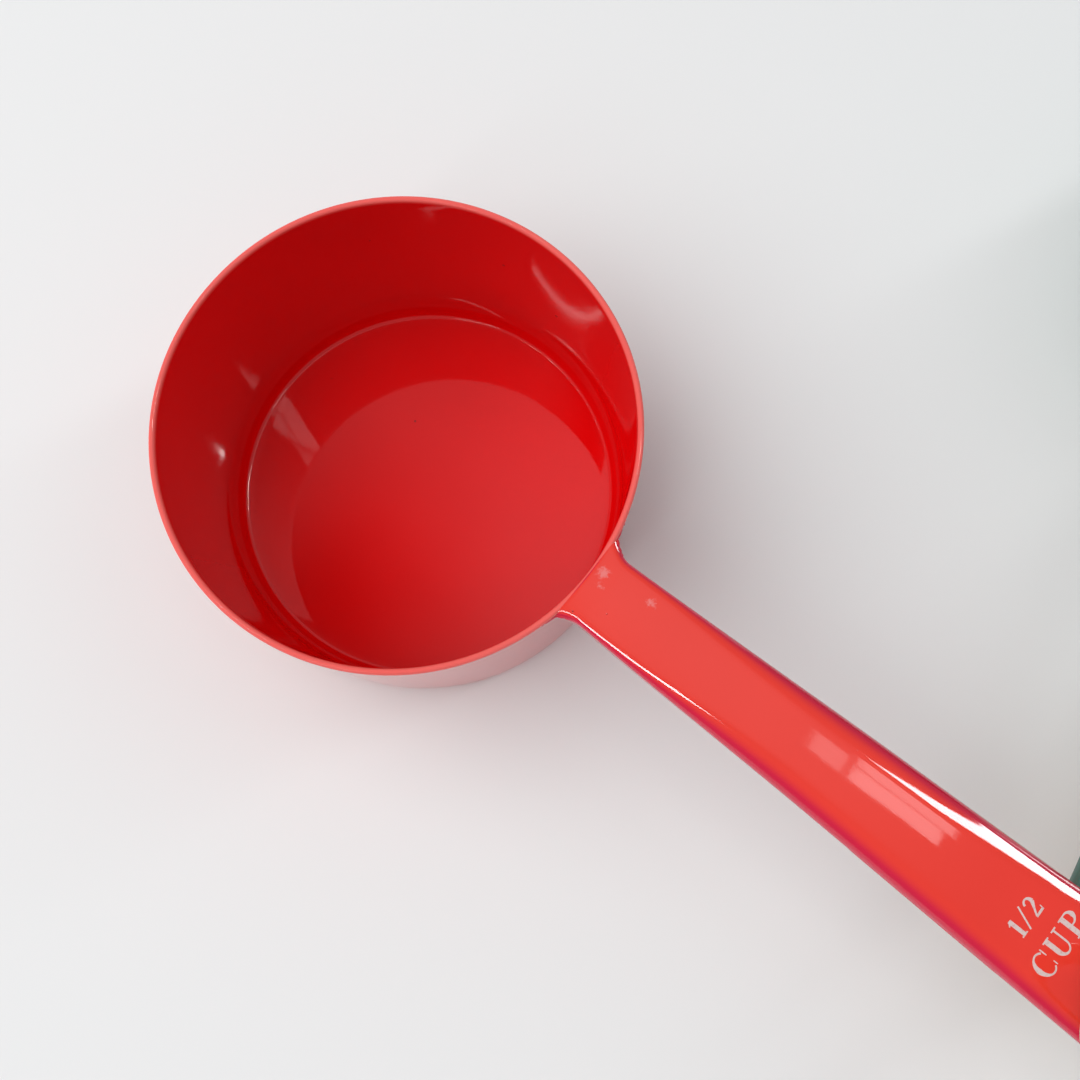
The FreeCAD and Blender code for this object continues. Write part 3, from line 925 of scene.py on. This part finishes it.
# Each window is one lamp that fills the whole scene, and others just before it that shine.
side_run, near_run = (0.107, 0.56, -0.593), (0.10, 0.35, 0.20)
panel("side_window", (0.394, 0.68, 0.58), side_run, (1.0, 0.105), 4.5, COOL, grip,
      glossy=False)
panel("side_window_on_handles", (0.370, 0.662, 0.567), side_run, (1.0, 0.088), 18.0, COOL, grip,
      **on_handles)
panel("near_window", (0.06, -0.62, 0.80), near_run, (0.70, 0.05), 9.0, COOL, grip,
      glossy=False)
panel("near_window_on_handles", (0.0585, -0.60, 0.776), near_run, (0.70, 0.06), 18.0, COOL, grip,
      **on_handles)
panel("near_window_on_bowls", (0.057, -0.58, 0.752), near_run, (0.34, 0.05), 4.0, COOL, grip,
      **on_bowls)

# Thin shines on the bowls' walls, and the patches on the handle.
panel("strip_high", (-0.3015, -0.198, 0.876), (-0.135, 0.252, 0.006), (0.29, 0.005), 12.0,
      WHITE, cup_mouth, **on_bowls)
panel("strip_low", (-0.24, -0.213, 0.93), (-0.134, 0.168, 0), (0.215, 0.012), 24.0,
      WHITE, cup_mouth, **on_bowls)
panel("strip_left", (0.071, 0.333, 0.92), (0.186, 0.011, -0.034), (0.17, 0.024), 36.0,
      WHITE, cup_mouth, **on_bowls)
ceiling_run = (1, 0.04, 0)
panel("ceiling_patch", (0.324, 0.155, 0.983), ceiling_run, (0.102, 0.046), 3.1, WHITE, grip)
panel("ceiling_patch_far", (0.330, 0.202, 0.983), ceiling_run, (0.112, 0.040), 2.9, WHITE, grip)
panel("ceiling_lamp", (0.245, 0.160, 0.983), ceiling_run, (0.036, 0.060), 1.7, WHITE, grip)

camera_data = bpy.data.cameras.new("camera")
camera_data.sensor_width = 36
camera_data.lens = 110 / 3
camera_data.clip_start = 0.005
camera = bpy.data.objects.new("camera", camera_data)
right = Vector((0.781, 0.624, -0.0215)).normalized()
back = Vector((0.133, -0.133, 0.982))
back = (back - right * back.dot(right)).normalized()
up = back.cross(right)
turn = Matrix((right, up, back)).transposed().to_4x4()
camera.matrix_world = Matrix.Translation((0.0439, -0.0192, 0.1786)) @ turn
bpy.context.scene.collection.objects.link(camera)
bpy.context.scene.camera = camera
bpy.context.scene.view_settings.view_transform = "Standard"

low, high = (list(corner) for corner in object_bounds())
